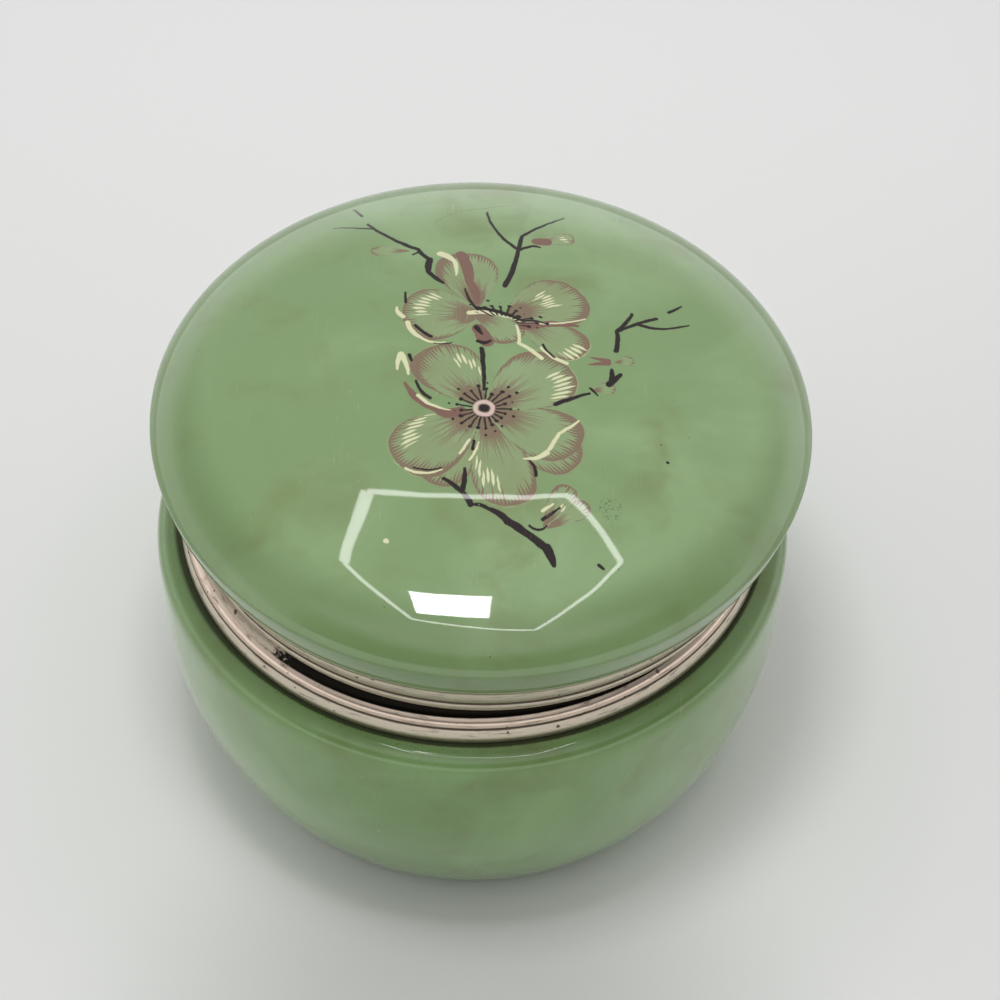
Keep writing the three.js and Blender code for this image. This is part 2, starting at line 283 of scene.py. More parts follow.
# each petal: its middle, the way it points in degrees, its length, half of its spread in degrees, its lean,
# and its finish: how much thicker its edge is to the left, and where its light strokes lie
branch = {
    "petals": [
        # the lower blossom's two turned edges, then its five petals
        {"middle": (0.3, -9.4), "axis": -36, "size": (18.8, 25), "lean": 0, "finish": (0.05, 0, -1)},
        {"middle": (0.3, -9.4), "axis": 243, "size": (17.6, 26), "lean": 0, "finish": (0.02, 0, -1)},
        {"middle": (0.3, -9.4), "axis": -77, "size": (20.0, 27), "lean": 0.06, "finish": (0.07, -0.42, 0.7)},
        {"middle": (0.3, -9.4), "axis": -27, "size": (17.0, 34), "lean": 0.1, "finish": (0.13, 0, -1)},
        {"middle": (0.3, -9.4), "axis": 221, "size": (18.0, 37), "lean": 0.02, "finish": (0.13, -0.5, 0.72)},
        {"middle": (0.3, -9.4), "axis": 123, "size": (16.2, 38), "lean": 0.12, "finish": (0.16, -0.5, 0.68)},
        {"middle": (0.3, -9.4), "axis": 39, "size": (17.0, 41), "lean": -0.04, "finish": (0.1, -0.35, 0.78)},
        # the upper blossom, which is seen partly from its side
        {"middle": (4.5, 11.5), "axis": -34, "size": (14.6, 28), "lean": 0.06, "finish": (0.12, -0.1, 0.86)},
        {"middle": (3.4, 11.6), "axis": 28, "size": (14.4, 46), "lean": -0.14, "finish": (-0.14, 0.1, 0.52)},
        {"middle": (-1.2, 13.2), "axis": 101, "size": (14.4, 40), "lean": 0.1, "finish": (0.2, 0, -1)},
        {"middle": (-0.6, 11.6), "axis": 182, "size": (13.4, 52), "lean": -0.04, "finish": (0.1, -0.32, 0.72)},
        {"middle": (-2.2, 12.4), "axis": -42, "size": (10.2, 33), "lean": 0.12, "finish": (-0.14, 0, -1)},
        # buds
        {"middle": (-13.0, 27.6), "axis": 178, "size": (7.0, 20), "lean": 0, "finish": (0, 0, -1)},
        {"middle": (8.4, 31.4), "axis": 12, "size": (6.8, 26), "lean": 0, "finish": (0, 0, 0.7)},
        {"middle": (10.6, -32.4), "axis": -322, "size": (8.4, 22), "lean": 0, "finish": (0.1, 0, -1)},
        {"middle": (10.0, -32.2), "axis": 62, "size": (9.2, 24), "lean": 0, "finish": (0.1, -0.4, 0.5)},
        {"middle": (17.6, -4.6), "axis": 20, "size": (4.2, 32), "lean": 0, "finish": (0.1, 0, -1)},
        {"middle": (21.4, 2.2), "axis": 16, "size": (3.4, 34), "lean": 0, "finish": (0.05, 0, -1)},
    ],
    # places along each stroke, its width at the start and at the end, and how far it bows to the left
    "mauve": [
        {"path": [(-4.4, 26.6), (-2.8, 19.6), (-1.4, 14.6)], "width": (1.0, 0.5), "bow": 0.3},
        {"path": [(-12.6, -4.4), (-7.8, -9.6), (-3.6, -10.2)], "width": (0.3, 1.1), "bow": -0.7},
        {"path": [(6.4, 9.2), (15.4, 10.0)], "width": (0.9, 0.3), "bow": 0.5},
        {"path": [(-1.2, 8.4), (0.4, 5.4)], "width": (1.0, 1.2), "bow": 0},
        {"path": [(8.4, 31.2), (10.2, 31.2)], "width": (0.9, 0.9), "bow": 0},
        {"path": [(20.4, 2.4), (17.4, 2.9)], "width": (0.5, 0.1), "bow": 0},
        {"path": [(20.4, 1.9), (17.0, 1.3)], "width": (0.5, 0.1), "bow": 0},
    ],
    "light": [
        {"path": [(-14.7, 13.0), (-13.6, 10.8)], "width": (0.2, 0.45), "bow": -0.3},
        {"path": [(-12.8, 9.4), (-10.4, 5.9), (-6.5, 4.9)], "width": (0.45, 0.12), "bow": -0.5},
        {"path": [(-7.9, 26.8), (-5.6, 25.0), (-5.1, 21.2)], "width": (0.65, 0.15), "bow": 0.2},
        {"path": [(-2.6, 12.0), (5.8, 10.4)], "width": (0.5, 0.22), "bow": 0.8},
        {"path": [(5.2, 9.4), (5.6, 5.2), (9.4, 2.0)], "width": (0.2, 0.36), "bow": 0.3},
        {"path": [(6.1, 10.3), (16.6, 11.8)], "width": (0.15, 0.15), "bow": -0.8},
        {"path": [(9.3, 4.5), (13.6, 1.2)], "width": (0.2, 0.34), "bow": -0.4},
        {"path": [(-13.6, 2.2), (-14.0, -1.3)], "width": (0.5, 0.2), "bow": -0.2},
        {"path": [(-13.4, 1.8), (-12.2, -2.4)], "width": (0.5, 0.2), "bow": 0.2},
        {"path": [(-10.4, -7.0), (-5.2, -9.9)], "width": (0.35, 0.12), "bow": -0.6},
        {"path": [(-11.8, -22.0), (-6.1, -22.1)], "width": (0.25, 0.15), "bow": -0.8},
        {"path": [(15.5, -11.1), (12.4, -13.9), (10.8, -17.3)], "width": (0.18, 0.34), "bow": 0.1},
        {"path": [(10.4, -18.0), (6.8, -19.4)], "width": (0.5, 0.15), "bow": 0.5},
        {"path": [(-1.9, -16.0), (-3.3, -18.8)], "width": (0.2, 0.2), "bow": 0},
        {"path": [(-0.4, -16.4), (-1.8, -20.0)], "width": (0.12, 0.2), "bow": 0.2},
        {"path": [(9.9, -29.2), (11.6, -27.8)], "width": (0.3, 0.15), "bow": 0},
        {"path": [(-14.3, -35.2), (-14.1, -35.4)], "width": (0.42, 0.3), "bow": 0},
    ],
    "hair": [
        {"path": [(-9.0, 35.9), (-6.1, 38.8), (-0.3, 40.7), (3.9, 41.8)], "width": (0.03, 0.05), "bow": 0.3},
    ],
    "dark": [
        # twigs
        {"path": [(-26.8, 35.5), (-19.8, 34.3)], "width": (0.1, 0.22), "bow": 0.1},
        {"path": [(-23.6, 41.6), (-22.0, 38.8)], "width": (0.16, 0.28), "bow": 0},
        {"path": [(-20.8, 35.9), (-16.9, 31.6), (-11.8, 28.0), (-9.7, 25.2)],
         "width": (0.25, 0.42), "bow": -0.2},
        {"path": [(-9.7, 25.2), (-9.8, 22.1), (-7.3, 19.2)], "width": (0.6, 0.3), "bow": -0.1},
        {"path": [(3.2, 19.0), (5.3, 28.6)], "width": (0.5, 0.34), "bow": -0.3},
        {"path": [(-0.2, 39.4), (1.5, 33.8), (5.3, 28.6)], "width": (0.2, 0.32), "bow": -0.3},
        {"path": [(13.2, 39.0), (5.9, 32.5)], "width": (0.14, 0.34), "bow": -0.2},
        {"path": [(5.9, 32.5), (5.3, 28.6)], "width": (0.34, 0.4), "bow": 0},
        {"path": [(5.3, 28.4), (7.6, 29.8), (9.0, 29.6)], "width": (0.34, 0.2), "bow": 0.1},
        {"path": [(24.5, 14.0), (21.9, 9.5), (21.7, 4.8)], "width": (0.3, 0.4), "bow": 0.2},
        {"path": [(22.0, 9.4), (28.6, 13.6)], "width": (0.3, 0.34), "bow": 0.2},
        {"path": [(25.6, 11.6), (29.4, 11.2), (34.1, 13.1)], "width": (0.34, 0.16), "bow": -0.2},
        {"path": [(30.8, 15.6), (33.1, 17.6)], "width": (0.3, 0.14), "bow": 0},
        {"path": [(21.0, 0.5), (20.9, -2.2)], "width": (0.3, 0.5), "bow": 0},
        {"path": [(22.4, -0.4), (20.5, -2.8)], "width": (0.34, 0.6), "bow": 0},
        {"path": [(11.8, -7.9), (17.2, -5.1)], "width": (0.42, 0.28), "bow": 0.1},
        {"path": [(-0.4, 3.7), (0.2, -5.4)], "width": (0.42, 0.26), "bow": 0.1},
        {"path": [(-5.8, -23.8), (-2.8, -26.2), (-1.4, -28.6)], "width": (0.3, 0.5), "bow": 0.1},
        {"path": [(-2.5, -21.8), (-2.8, -26.0)], "width": (0.26, 0.44), "bow": 0.2},
        {"path": [(-1.6, -28.6), (1.4, -29.2), (4.4, -31.4)], "width": (0.14, 0.62), "bow": 0.3},
        {"path": [(4.4, -31.2), (8.4, -34.1), (11.0, -36.2)], "width": (0.62, 0.66), "bow": 0},
        {"path": [(10.6, -35.8), (11.8, -38.6)], "width": (0.85, 0.4), "bow": 0.1},
        # accents
        {"path": [(-13.5, 16.7), (-13.3, 14.2)], "width": (0.2, 0.26), "bow": 0},
        {"path": [(-11.5, 8.8), (-8.8, 6.2)], "width": (0.3, 0.3), "bow": -0.2},
        {"path": [(-8.3, 4.7), (-5.4, 4.9)], "width": (0.12, 0.12), "bow": -0.3},
        {"path": [(-3.5, 17.8), (-1.2, 12.8)], "width": (0.16, 0.3), "bow": -0.4},
        {"path": [(-1.4, 13.2), (6.4, 10.4), (10.4, 9.9)], "width": (0.4, 0.1), "bow": 0.5},
        {"path": [(9.6, 5.2), (11.6, 2.4)], "width": (0.2, 0.16), "bow": -0.2},
        {"path": [(-12.3, 2.0), (-11.7, 0.6)], "width": (0.3, 0.2), "bow": 0},
        {"path": [(-10.9, -3.8), (-8.5, -7.5)], "width": (0.2, 0.34), "bow": -0.4},
        {"path": [(-10.6, -21.7), (-6.2, -21.7)], "width": (0.16, 0.16), "bow": -0.5},
        {"path": [(-1.2, -16.2), (-1.3, -18.0)], "width": (0.26, 0.26), "bow": 0},
        {"path": [(7.8, -19.9), (8.8, -22.6)], "width": (0.2, 0.34), "bow": 0.3},
        {"path": [(10.0, -30.8), (12.6, -28.4)], "width": (0.32, 0.16), "bow": 0},
        {"path": [(8.0, -32.0), (10.6, -31.9)], "width": (0.26, 0.2), "bow": -0.7},
        {"path": [(-1.4, 8.6), (-0.4, 7.0)], "width": (0.5, 0.2), "bow": 0},
        {"path": [(-1.0, 5.4), (1.0, 5.6)], "width": (0.4, 0.3), "bow": -0.4},
        {"path": [(-12.4, 28.6), (-11.4, 27.6), (-12.6, 26.6)], "width": (0.22, 0.2), "bow": 0},
        {"path": [(17.4, -4.0), (18.6, -5.4)], "width": (0.25, 0.15), "bow": 0},
        # two flecks beside the branch
        {"path": [(29.7, -17.8), (29.9, -17.9)], "width": (0.26, 0.2), "bow": 0},
        {"path": [(18.8, -37.9), (19.6, -38.5)], "width": (0.3, 0.2), "bow": 0},
    ],
    "stamens": [
        {"middle": (0.3, -9.4), "turn": 0, "size": (1.2, 1.2), "cut": -9, "count": 21},
        {"middle": (3.0, 9.9), "turn": -20, "size": (1.5, 1.0), "cut": 0.5, "count": 23},
    ],
    "edge": 0.07, "waver": 0.35, "waverSize": 1.6, "tintShare": 0.3, "mauveShare": 0.8,
    "tint": (0.33, 0.35, 0.21, 1), "hairInk": (0.13, 0.18, 0.07, 1),
    "mauveInk": (0.195, 0.105, 0.078, 1), "lightInk": (0.66, 0.66, 0.42, 1),
    "darkInk": (0.010, 0.003, 0.003, 1), "ringInk": (0.62, 0.46, 0.42, 1),
}


# The lid's top is cut into zones. The material of each holds only the figures that reach into it,
# so that the print renders quickly.
zoneGrid = {"across": (-37, 0, 37), "along": (-47, -16, 13, 46), "spare": 1.7}


def printZones():
    along, across = zoneGrid["along"], zoneGrid["across"]
    return [(left, right, front, back) for front, back in zip(along, along[1:])
            for left, right in zip(across, across[1:])]


def reaches(zone, points, size):
    left, right, front, back = zone
    xs, ys = zip(*points)
    size += zoneGrid["spare"]
    return (min(xs) - size < right and max(xs) + size > left
            and min(ys) - size < back and max(ys) + size > front)


def petalOutline(petal):
    x, y = petal["middle"]
    length, spread = petal["size"]
    turns = [math.radians(petal["axis"] + spread * part) for part in (-1, -0.5, 0, 0.5, 1)]
    return [(x, y)] + [(x + length * math.cos(turned), y + length * math.sin(turned)) for turned in turns]


def addStrokes(tree, group, place, strokes, zone):
    nearest = 9.0
    for stroke in strokes:
        path = [Vector(point) for point in stroke["path"]]
        first, last = stroke["width"]
        for i, (start, end) in enumerate(zip(path, path[1:])):
            if not reaches(zone, (start, end), max(first, last) + abs(stroke["bow"])):
                continue
            run = end - start
            parts = len(path) - 1
            inputs = {
                **localInputs(start, math.atan2(run.y, run.x)),
                "Place": place, "Nearest": nearest, "Length": run.length, "Bow": -4 * stroke["bow"],
                "Width": first + (last - first) * i / parts, "Widening": (last - first) / parts,
                "Belly": 0.4 * max(first, last),
            }
            nearest = useGroup(tree, group, inputs)["Nearest"]
    if nearest == 9.0:
        return 0.0
    return edge(tree, nearest, branch["edge"], -branch["edge"])


# lays a zone's share of the print over a colour
def printBranch(tree, groups, place, colour, zone):
    b = branch
    waver = Vector((b["waver"], b["waver"], 0))
    shaken = addNode(tree, "TexNoise", {"Vector": place, "Scale": 1 / b["waverSize"], "Detail": 1.0})
    shaken = vectorCalc(tree, "MULTIPLY_ADD", shaken.outputs["Color"], waver, -waver / 2)
    place = vectorCalc(tree, "ADD", vectorCalc(tree, "MULTIPLY", place, (1, 1, 0)), shaken)
    field, finish, printed = (0, 0, 0), (0, 0, 0), 0.0
    for p in b["petals"]:
        if not reaches(zone, petalOutline(p), 1.5):
            continue
        length, spread = p["size"]
        result = useGroup(tree, groups["petal"], {
            **localInputs(p["middle"], math.radians(p["axis"])),
            "Place": place, "Below Field": field, "Below Finish": finish, "Below Print": printed,
            "Length": length, "Spread": math.radians(spread), "Lean": p["lean"], "Finish": p["finish"],
        })
        field, finish, printed = result["Field"], result["Finish"], result["Print"]
    hatching = useGroup(tree, groups["hatching"], {"Field": field, "Finish": finish})
    mauve = calc(tree, "MULTIPLY", printed, hatching["Mauve"])
    colour = blend(tree, calc(tree, "MULTIPLY", printed, b["tintShare"]), colour, b["tint"])
    colour = blend(tree, calc(tree, "MULTIPLY", mauve, b["mauveShare"]), colour, b["mauveInk"])
    colour = blend(tree, calc(tree, "MULTIPLY", printed, hatching["Light"]), colour, b["lightInk"])
    for strokes, ink in (("mauve", "mauveInk"), ("light", "lightInk"), ("hair", "hairInk")):
        colour = blend(tree, addStrokes(tree, groups["stroke"], place, b[strokes], zone), colour, b[ink])
    for s in b["stamens"]:
        if not reaches(zone, [s["middle"]], 7):
            continue
        result = useGroup(tree, groups["stamens"], {
            **localInputs(s["middle"], math.radians(s["turn"]), s["size"]), "Place": place, "Cut": s["cut"],
            "Count": s["count"],
        })
        dark = edge(tree, result["Nearest"], b["edge"], -b["edge"])
        colour = blend(tree, dark, colour, b["darkInk"])
        if s["cut"] < 0:
            ring = calc(tree, "ABSOLUTE", calc(tree, "SUBTRACT", result["Radius"], 1.15))
            colour = blend(tree, ramp(tree, result["Radius"], 0.75, 0.6), colour, b["darkInk"])
            colour = blend(tree, ramp(tree, ring, 0.36, 0.24), colour, b["ringInk"])
    return blend(tree, addStrokes(tree, groups["stroke"], place, b["dark"], zone), colour, b["darkInk"])


stone = {
    "lid": {
        "green": (0.205, 0.31, 0.137, 1), "light": (0.265, 0.38, 0.19, 1), "olive": (0.19, 0.24, 0.096, 1),
    },
    "bowl": {
        "green": (0.158, 0.265, 0.094, 1), "light": (0.2, 0.33, 0.13, 1), "olive": (0.15, 0.205, 0.066, 1),
    },
    # the darkest stone colour is real dirt in stains and specks, and also painted shade in the gap along the
    # mount
    "dirtAndShade": (0.03, 0.033, 0.015, 1), "pale": (0.40, 0.48, 0.27, 1), "dirtAndShadeReach": 0.6, "seamRadius": 50.7,
    "cloudScale": 0.028, "speckScale": 0.42, "speckShare": 0.16, "roughness": 0.45,
    # the rim colour and its amount are a painted shade along the lid's edge
    "rim": (0.09, 0.15, 0.045, 1), "rimPaintedShade": 0.38,
    # middles and half sizes of the lid's stains in millimetres, how dense each is, and its colour
    "stains": [
        {"middle": (20.6, -27.9), "size": (4.6, 5.4), "density": 0.62, "ink": "dirtAndShade"},
        {"middle": (22.0, -35.0), "size": (2.2, 5.0), "density": 0.4, "ink": "dirtAndShade"},
        {"middle": (24.0, 41.0), "size": (8.5, 2.6), "density": 0.5, "ink": "dirtAndShade"},
        {"middle": (30.0, 19.4), "size": (6.5, 2.0), "density": 0.4, "ink": "pale"},
        {"middle": (-22.0, -13.0), "size": (4.5, 6.0), "density": 0.25, "ink": "dirtAndShade"},
    ],
}


# the clouds, specks and fine scratches of the polished stone, each as a mask
def stoneGroup():
    group, given, out = newGroup("stoneFigure", {
        "Place": (0, 0, 0), "Cloud Scale": 0.03, "Speck Scale": 0.4, "Speck Share": 0.15,
    }, {"Cloud": "Float", "Patch": "Float", "Dark": "Float", "Pale": "Float", "Scratch": "Float"})
    place, scale = given["Place"], given["Cloud Scale"]
    cloud = noise(group, place, scale, 4, 0.55, 0.6)
    patch = noise(group, place, calc(group, "MULTIPLY", scale, 2.3), 3, 0.6, 0.3)
    cells = addNode(group, "TexVoronoi", {"Vector": place, "Scale": given["Speck Scale"]}).outputs
    kind, size, strength = split(group, cells["Color"])[:3]
    radius = calc(group, "MULTIPLY_ADD", calc(group, "MULTIPLY", size, size), 0.09, 0.02)
    speck = limit(group, calc(group, "MULTIPLY", calc(group, "SUBTRACT", radius, cells["Distance"]), 40.0))
    speck = calc(group, "MULTIPLY", speck, strength)
    paleFrom = calc(group, "SUBTRACT", 1.0, given["Speck Share"])
    drawn = addNode(group, "Mapping", {"Vector": place, "Rotation": (0, 0, 0.5), "Scale": (1.1, 0.05, 0.3)})
    line = calc(group, "ABSOLUTE", calc(group, "SUBTRACT", noise(group, drawn.outputs[0], 1.0, 1), 0.5))
    worn = ramp(group, noise(group, place, 0.08, 2), 0.5, 0.66)
    putOut(group, out, {
        "Cloud": ramp(group, cloud, 0.42, 0.72), "Patch": ramp(group, patch, 0.48, 0.75),
        "Dark": calc(group, "MULTIPLY", speck, calc(group, "LESS_THAN", kind, given["Speck Share"])),
        "Pale": calc(group, "MULTIPLY", speck, calc(group, "GREATER_THAN", kind, paleFrom)),
        "Scratch": calc(group, "MULTIPLY", ramp(group, line, 0.006, 0.002), worn),
    })
    return group


# a patch of fine speckles that thins out towards its edge
def stainGroup():
    group, given, out = newGroup("stain", {"Place": (0, 0, 0), "Grain": 0.5, **localSockets, "Density": 0.5},
                             {"Mask": "Float"})
    away = hypot(group, *localPlace(group, given))
    amount = calc(group, "MULTIPLY", ramp(group, away, 1.0, 0.2), given["Density"])
    level = calc(group, "SUBTRACT", 0.82, calc(group, "MULTIPLY", amount, 0.5))
    mask = limit(group, calc(group, "MULTIPLY", calc(group, "SUBTRACT", given["Grain"], level), 9.0))
    putOut(group, out, {"Mask": calc(group, "MULTIPLY", mask, ramp(group, away, 1.0, 0.8))})
    return group


# seam: the height where the stone meets its mount; zone: the part of the lid's print that it carries
def alabaster(name, groups, seam, leaning=False, zone=None):
    s = stone
    material, tree, shader = newMaterial(name)
    place = piecePlace(tree, leaning)
    figure = useGroup(tree, groups["stone"], {
        "Place": place, "Cloud Scale": s["cloudScale"], "Speck Scale": s["speckScale"],
        "Speck Share": s["speckShare"],
    })
    greens = s["lid" if leaning else "bowl"]
    grain = noise(tree, place, 2.4, 3, 0.7)
    colour = blend(tree, figure["Cloud"], greens["green"], greens["light"])
    colour = blend(tree, calc(tree, "MULTIPLY", figure["Patch"], 0.75), colour, greens["olive"])
    if zone:
        colour = printBranch(tree, groups, place, colour, zone)
        for stain in s["stains"]:
            if reaches(zone, [stain["middle"]], max(stain["size"])):
                mask = useGroup(tree, groups["stain"], {
                    **localInputs(stain["middle"], 0, stain["size"]), "Place": place, "Grain": grain,
                    "Density": stain["density"],
                })["Mask"]
                colour = blend(tree, calc(tree, "MULTIPLY", mask, 0.6), colour, s[stain["ink"]])
    colour = blend(tree, calc(tree, "MULTIPLY", figure["Dark"], 0.8), colour, s["dirtAndShade"])
    colour = blend(tree, calc(tree, "MULTIPLY", figure["Pale"], 0.5), colour, s["pale"])
    colour = blend(tree, calc(tree, "MULTIPLY", figure["Scratch"], 0.35), colour, s["pale"])
    # the dirt along the mount, with painted shade of the gap between stone and metal that makes the line widest
    # at the far left, and loose specks of dirt on the stone
    x, y, height = split(tree, place)[:3]
    away = calc(tree, "SUBTRACT", hypot(tree, x, y), s["seamRadius"])
    away = hypot(tree, away, calc(tree, "SUBTRACT", height, seam))
    reach = ramp(tree, x, -28, -50, s["dirtAndShadeReach"], s["dirtAndShadeReach"] * (1 if leaning else 2.4))
    dirtAndShade = edge(tree, calc(tree, "DIVIDE", calc(tree, "MULTIPLY_ADD", grain, -0.3, away), reach), 0.85, 0.35)
    specks = calc(tree, "MULTIPLY_ADD", ramp(tree, away, 4.5, 0.4), 0.13, grain)
    dirtAndShade = calc(tree, "MAXIMUM", dirtAndShade, edge(tree, specks, 0.76, 0.8))
    colour = blend(tree, calc(tree, "MULTIPLY", dirtAndShade, 0.9), colour, s["dirtAndShade"])
    if leaning:
        # painted shade: the green is darkened along the lid's edge, most of all at the front
        rim = ramp(tree, hypot(tree, x, y), 44.5, 51, 0.0, s["rimPaintedShade"])
        rim = calc(tree, "MULTIPLY", rim, ramp(tree, y, 20, -45, 0.75, 1.3))
        colour = blend(tree, rim, colour, s["rim"])
    tree.links.new(colour, shader.inputs["Base Color"])
    roughness = calc(tree, "MULTIPLY_ADD", figure["Scratch"], 0.2, s["roughness"])
    tree.links.new(roughness, shader.inputs["Roughness"])
    tree.links.new(ramp(tree, dirtAndShade, 0.3, 0.8, 1.0, 0.2), shader.inputs["Coat Weight"])
    shader.inputs["Specular IOR Level"].default_value = 0.1
    shader.inputs["Subsurface Weight"].default_value = 0.2
    shader.inputs["Subsurface Radius"].default_value = (0.6, 1.0, 0.4)
    shader.inputs["Subsurface Scale"].default_value = 0.002
    shader.inputs["Coat Roughness"].default_value = 0.03
    shader.inputs["Coat IOR"].default_value = 1.5
    return material


metal = {
    # the near-black colour, with the middle and spread in degrees of where it lies, is a painted dark
    # reflection on the front of the seat
    "light": (0.70, 0.61, 0.50, 1), "pink": (0.68, 0.55, 0.45, 1), "dark": (0.075, 0.05, 0.025, 1),
    "black": (0.006, 0.005, 0.003, 1), "blackMiddle": 10, "blackSpread": 50, "seatDarkening": 0.6,
    "roughness": 0.3, "pitScale": 0.75, "pitShare": 0.2,
}


# brown tarnish drawn out along the turned bands, and black pits where the plating has gone
def tarnishGroup():
    group, given, out = newGroup("tarnish", {
        "Place": (0, 0, 0), "Pit Scale": 0.7, "Pit Share": 0.2,
    }, {"Tarnish": "Float", "Pits": "Float"})
    place = given["Place"]
    bands = addNode(group, "Mapping", {"Vector": place, "Scale": (0.25, 0.25, 2.2)}).outputs[0]
    broad = noise(group, bands, 1.0, 4, 0.6, 0.4)
    fine = noise(group, place, 2.6, 3, 0.65)
    streaks, spots = ramp(group, broad, 0.52, 0.78, 0, 0.8), ramp(group, fine, 0.64, 0.76, 0, 0.7)
    tarnish = calc(group, "MAXIMUM", streaks, spots)
    cells = addNode(group, "TexVoronoi", {"Vector": place, "Scale": given["Pit Scale"]}).outputs
    kind, size = split(group, cells["Color"])[:2]
    ragged = calc(group, "MULTIPLY_ADD", fine, 0.3, cells["Distance"])
    radius = calc(group, "MULTIPLY_ADD", calc(group, "MULTIPLY", size, size), 0.32, 0.18)
    pits = limit(group, calc(group, "MULTIPLY", calc(group, "SUBTRACT", radius, ragged), 14.0))
    chosen = calc(group, "LESS_THAN", kind, given["Pit Share"])
    putOut(group, out, {"Tarnish": tarnish, "Pits": calc(group, "MULTIPLY", pits, chosen)})
    return group


# grooves: the heights where dirt lies, with half the width of each; pinkBand: where the brass shows through;
# blackBand: where the seat is darkened all round, and painted with a dark reflection towards the front
def agedMetal(name, groups, grooves, pinkBand, blackBand=None, leaning=False):
    m = metal
    material, tree, shader = newMaterial(name)
    place = piecePlace(tree, leaning)
    worn = useGroup(tree, groups["tarnish"], {
        "Place": place, "Pit Scale": m["pitScale"], "Pit Share": m["pitShare"],
    })
    height = split(tree, place)["Z"]
    low, high = pinkBand
    band = ramp(tree, height, low - 0.2, low + 0.2)
    band = calc(tree, "MULTIPLY", band, ramp(tree, height, high + 0.2, high - 0.2))
    colour = blend(tree, band, m["light"], m["pink"])
    colour = blend(tree, worn["Tarnish"], colour, m["dark"])
    dirt = worn["Pits"]
    for middle, half in grooves:
        away = calc(tree, "ABSOLUTE", calc(tree, "SUBTRACT", height, middle))
        dirt = calc(tree, "MAXIMUM", dirt, ramp(tree, away, half * 1.3, half * 0.6))
    colour = blend(tree, calc(tree, "MULTIPLY", dirt, 0.9), colour, m["dark"])
    if blackBand:
        low, high = blackBand
        above = ramp(tree, height, low - 0.05, low + 0.1)
        seat = calc(tree, "MULTIPLY", above, ramp(tree, height, high + 1, high))
        colour = blend(tree, calc(tree, "MULTIPLY", seat, m["seatDarkening"]), colour, m["dark"])
        # painted dark reflection: the seat turns near-black on the side that faces the front
        turned = math.radians(m["blackMiddle"])
        front = vectorCalc(tree, "DOT_PRODUCT", place, Vector((math.sin(turned), -math.cos(turned), 0)) / 48.5)
        front = calc(tree, "MULTIPLY_ADD", noise(tree, place, 0.9, 4, 0.7), 0.3, front)
        half = math.cos(math.radians(m["blackSpread"])) + 0.15
        black = calc(tree, "MULTIPLY", above, ramp(tree, front, half - 0.03, half + 0.03))
        black = calc(tree, "MULTIPLY", black, ramp(tree, height, high + 0.1, high))
        colour = blend(tree, black, colour, m["black"])
    tree.links.new(colour, shader.inputs["Base Color"])
    tree.links.new(calc(tree, "MULTIPLY_ADD", dirt, -0.75, 0.95), shader.inputs["Metallic"])
    rough = calc(tree, "MULTIPLY_ADD", dirt, 0.5, m["roughness"])
    rough = calc(tree, "MULTIPLY_ADD", worn["Tarnish"], 0.16, rough)
    tree.links.new(rough, shader.inputs["Roughness"])
    bump = addNode(tree, "Bump", {"Height": calc(tree, "MULTIPLY", dirt, -1.0), "Distance": 0.00012})
    tree.links.new(bump.outputs["Normal"], shader.inputs["Normal"])
    return material


def makeFinishes():
    return {"petal": petalGroup(), "hatching": hatchGroup(), "stroke": strokeGroup(), "stamens": stamenGroup(),
            "stone": stoneGroup(), "stain": stainGroup(), "tarnish": tarnishGroup()}


# spins an outline of (radius, height) or (radius, height, rounding) into a turned piece
def turn(name, outline, material, place=Matrix.Identity(4), closed=False, steps=180):
    bm = bmesh.new()
    verts = [bm.verts.new((point[0] * mm, 0, point[1] * mm)) for point in outline]
    for first, second in zip(verts, verts[1:]):
        bm.edges.new((first, second))
    if closed:
        bm.edges.new((verts[-1], verts[0]))
    for rounding in sorted({point[2] for point in outline if len(point) > 2}):
        corners = [vert for vert, point in zip(verts, outline) if len(point) > 2 and point[2] == rounding]
        bmesh.ops.bevel(bm, geom=corners, offset=rounding * mm, offset_type="OFFSET", affect="VERTICES",
                        segments=4, profile=0.5, material=-1)
    bmesh.ops.spin(bm, geom=bm.verts[:] + bm.edges[:], cent=(0, 0, 0), axis=(0, 0, 1), angle=math.tau,
                   steps=steps, use_merge=True)
    bmesh.ops.remove_doubles(bm, verts=bm.verts[:], dist=1e-7)
    bmesh.ops.recalc_face_normals(bm, faces=bm.faces[:])
    bmesh.ops.transform(bm, matrix=place, verts=bm.verts[:])
    for face in bm.faces:
        face.smooth = True
    mesh = bpy.data.meshes.new(name)
    bm.to_mesh(mesh)
    bm.free()
    piece = bpy.data.objects.new(name, mesh)
    scene.collection.objects.link(piece)
    mesh.materials.append(material)
    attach(piece, "root")
    print("made", name, "with", len(mesh.polygons), "faces")
    return piece


def curve(steps, pointAt):
    return [pointAt(i / steps) for i in range(steps + 1)]


# a quarter of a rounded form, from its rim at the given height to the axis
def quarter(radius, height, rise, power, steps):
    def pointAt(t):
        angle = t * math.pi / 2
        return (radius * max(math.cos(angle), 0) ** (2 / power), height + rise * math.sin(angle) ** (2 / power))
    return curve(steps, pointAt)


bowlStone = {
    "radius": 55, "bellyHeight": 40, "footRadius": 44.2, "footRounding": 2.6, "flankPower": 2.36,
    "shoulderPower": 10, "wall": 7, "floor": 8, "seamRadius": 50.7, "seamHeight": 51.8, "spigotRadius": 48.05,
    "spigotTop": 55.75, "mouthRadius": 44.04, "cavityPower": 3,
}


